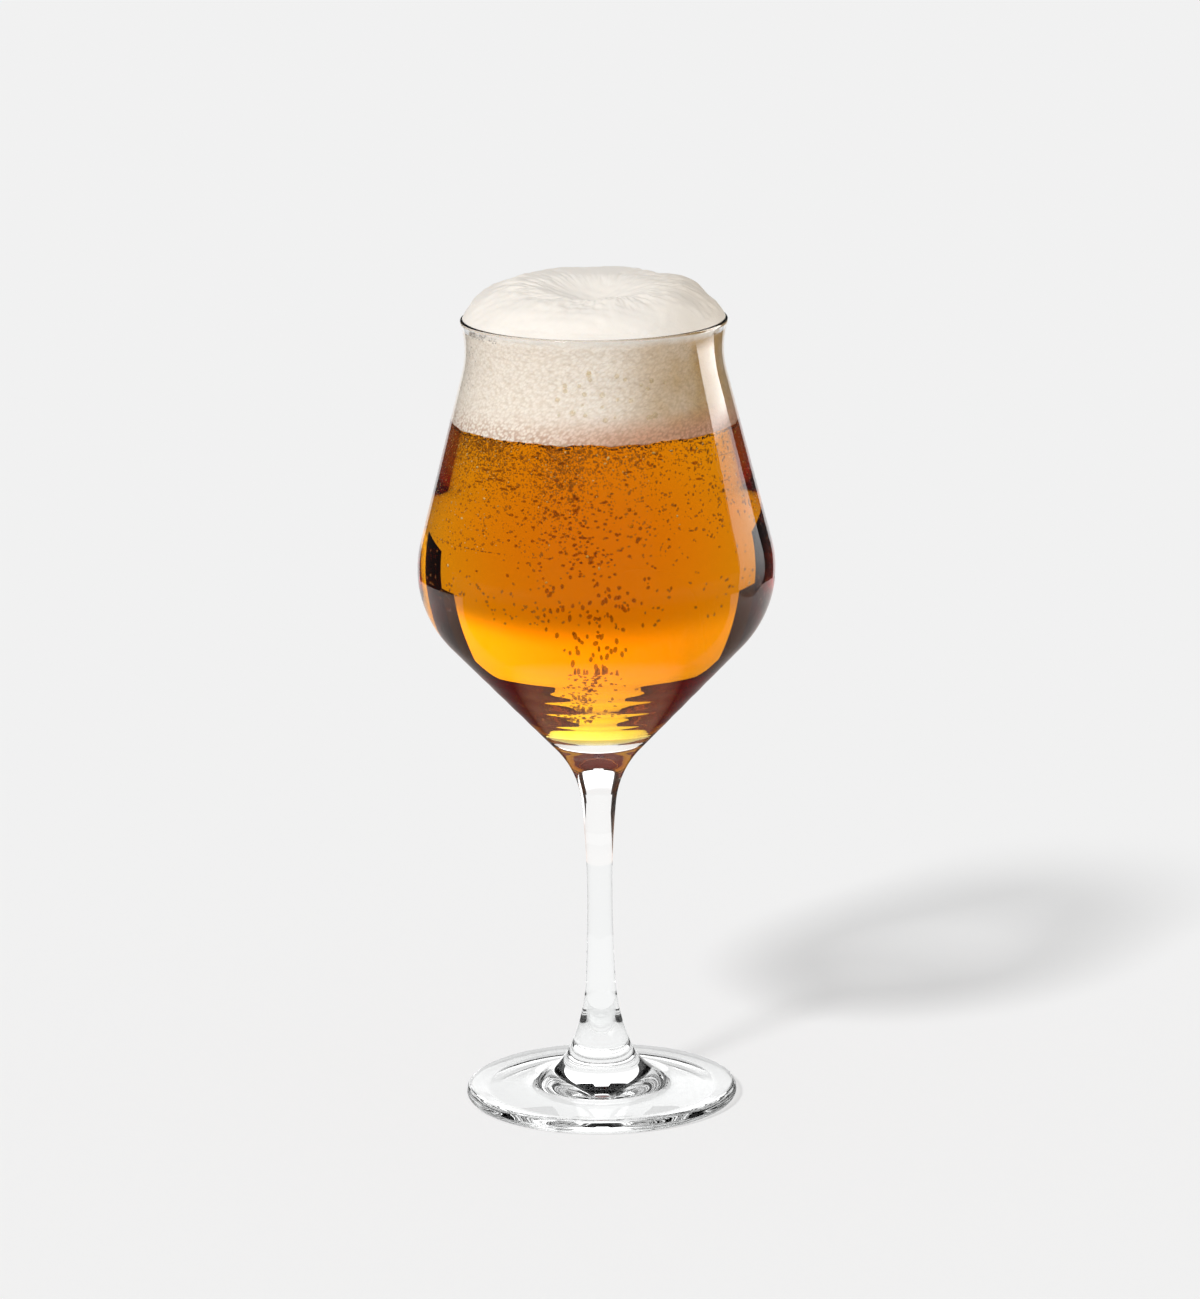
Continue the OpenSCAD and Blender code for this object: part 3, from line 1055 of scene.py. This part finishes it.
def stepped_glow(card, weights, reach, stops):
    """Makes a card's light change with the distance from the glass along the weighted axes.

    The stops are shares of the reach, in millimetres, and colours.
    """
    tree = card.data.materials[0].node_tree
    nodes, links = tree.nodes, tree.links
    place = nodes.new("ShaderNodeTexCoord")
    weigh = nodes.new("ShaderNodeVectorMath")
    weigh.operation = "MULTIPLY"
    weigh.inputs[1].default_value = np.array(weights) / (reach * MM)
    share = nodes.new("ShaderNodeVectorMath")
    share.operation = "LENGTH"
    steps = nodes.new("ShaderNodeValToRGB")
    elements = steps.color_ramp.elements
    elements.remove(elements[0])
    elements[0].position, elements[0].color = stops[0]
    for position, colour in stops[1:]:
        elements.new(position).color = colour
    links.new(place.outputs["Object"], weigh.inputs[0])
    links.new(weigh.outputs["Vector"], share.inputs[0])
    links.new(share.outputs["Value"], steps.inputs["Fac"])
    links.new(steps.outputs["Color"], nodes["Emission"].inputs["Color"])


screen_far = 2000.0
flag_far = 1500.0
card_far = 1000.0
wall_far = 1600.0
black = 0.0
back_screen = rig_card("back_screen", dome_patch(screen_far, turns=(-30, 30), rises=(-40, 75)), 1.0)
rising_glow(back_screen, levels=(0.95, 2.7), heights=(150, 480), half=600.0, dimmed=0.55)
rig_card("front_card", dome_patch(card_far, turns=(140, 220), rises=(4, 50)), 0.4)
rig_card("overhead_card", dome_patch(flag_far, turns=(0, 360), rises=(66, 90)), 0.6)
rig_card("back_flag", dome_patch(flag_far, turns=(-8, -32), rises=(36, 52)), black)
rig_card("back_flag", dome_patch(flag_far, turns=(8, 32), rises=(36, 52)), black)
rig_card("high_flag", dome_patch(flag_far, turns=(-32, 32), rises=(44, 64)), black)
rig_card("left_flag", board((-300, 420), (-300, 60), heights=(-300, 500)), black)
rig_card("right_flag", board((380, 341), (380, 560), heights=(-300, 500)), black)
rig_card("strip_light", board((380, 75), (380, 340), heights=(20, 700)), 2.0)

strip_x = 70.0
strip_half = 17.5
strip_low = 122.0
strip_round = 12.0
round_r = 12.2
strip_high = 260.0
strip_lean = 0.26
strip_y = -3.0
lean_z = 130.0
strip_peak = 10.0
strip_levels = ((126, 0.3), (140, 1.1), (152, 1.6), (176, 1.5), (181, 5.8), (260, 5.8))
round_top = strip_low + strip_round
strip_z = np.append(np.linspace(strip_low, round_top, 13), [182, strip_high])
rounded = np.clip(round_top - strip_z, 0, strip_round) / round_r
strip_width = strip_half * np.sqrt(1 - rounded ** 2)
strip_middle = strip_y + strip_lean * (strip_z - lean_z)
strip_edges = [
    np.column_stack((np.full(len(strip_z), strip_x), strip_middle + side * strip_width, strip_z))
    for side in (-1, 1)]
strip_mirror = rig_card("strip_mirror", np.stack(strip_edges, axis=1), strip_peak, mirrored=True)
stepped_glow(strip_mirror, (0, 0, 1), strip_high, [
    (height / strip_high, (level / strip_peak, level / strip_peak, level / strip_peak, 1))
    for height, level in strip_levels])

rig_card("back_wall", dome_patch(wall_far, turns=(-22, 22), rises=(-40, 8)), 0.9, mirrored=True)
flag_half = 700.0
flag_z = 2.0
flag_rows = [[(-flag_half, y, flag_z), (flag_half, y, flag_z)] for y in (-1000, -90)]
rig_card("front_floor_flag", np.array(flag_rows), 0.35)
rig_card("key_window", dome_patch(card_far, turns=(206, 224), rises=(54, 66)), 10.0, mirrored=True)

glow_inner = 6.0
glow_r = 50.0
table_r = 330.0
glow_z = 60.0
shade_z = 59.0
foot_ring = level_ring(glow_inner, glow_r, (0, 360), glow_z)
foot_glow = rig_card("foot_glow", foot_ring, 1.3, mirrored=True, rides=False)
stepped_glow(foot_glow, (1, 1, 0), glow_r, (
    (0.24, (0.9, 0.66, 0.54, 1)),
    (0.4, (0.6, 0.42, 0.32, 1)),
    (0.75, (0.5, 0.3, 0.22, 1)),
    (1.0, (0.03, 0.03, 0.03, 1))))
table_glow = rig_card("table_glow", level_ring(glow_r, table_r, (0, 180), glow_z), 1.0, mirrored=True)
stepped_glow(table_glow, (1, 1, 0), table_r, (
    (0.15, (0.05, 0.05, 0.05, 1)),
    (0.42, (0.42, 0.37, 0.35, 1)),
    (0.7, (0.75, 0.70, 0.68, 1))))
shade_ring = level_ring(glow_inner, table_r, (0, 360), shade_z)
rig_card("foot_shade", shade_ring, black, mirrored=True, rides=False)

fill = 0.62
dark_room = 0.04
world = bpy.data.worlds.new("studio")
world.use_nodes = True
scene.world = world
tree = world.node_tree
path = tree.nodes.new("ShaderNodeLightPath")
level = fill
for ray, strength in (
        ("Is Camera Ray", pale),
        ("Is Transmission Ray", dark_room),
        ("Is Reflection Ray", dark_room),
        ("Is Diffuse Ray", fill)):
    choose = tree.nodes.new("ShaderNodeMix")
    feed(tree, choose.inputs["Factor"], path.outputs[ray])
    feed(tree, choose.inputs["A"], level)
    feed(tree, choose.inputs["B"], strength)
    level = choose.outputs["Result"]
backdrop = tree.nodes["Background"]
backdrop.inputs["Color"].default_value = (1, 1, 1, 1)
tree.links.new(level, backdrop.inputs["Strength"])

key_level = 0.38
key_from = Vector((-0.434, -0.614, 0.658))
key_softness = 9.0
key_light = bpy.data.lights.new("key", "SUN")
key_light.energy = key_level * np.pi / key_from.z
key_light.angle = np.radians(key_softness)
key = bpy.data.objects.new("key", key_light)
key.rotation_mode = "QUATERNION"
key.rotation_quaternion = key_from.to_track_quat("Z", "Y")
key.visible_glossy = False
key.visible_transmission = False
scene.collection.objects.link(key)

scene.view_settings.view_transform = "Standard"
scene.cycles.max_bounces = 32
scene.cycles.transmission_bounces = 32
scene.cycles.glossy_bounces = 16
scene.cycles.transparent_max_bounces = 48
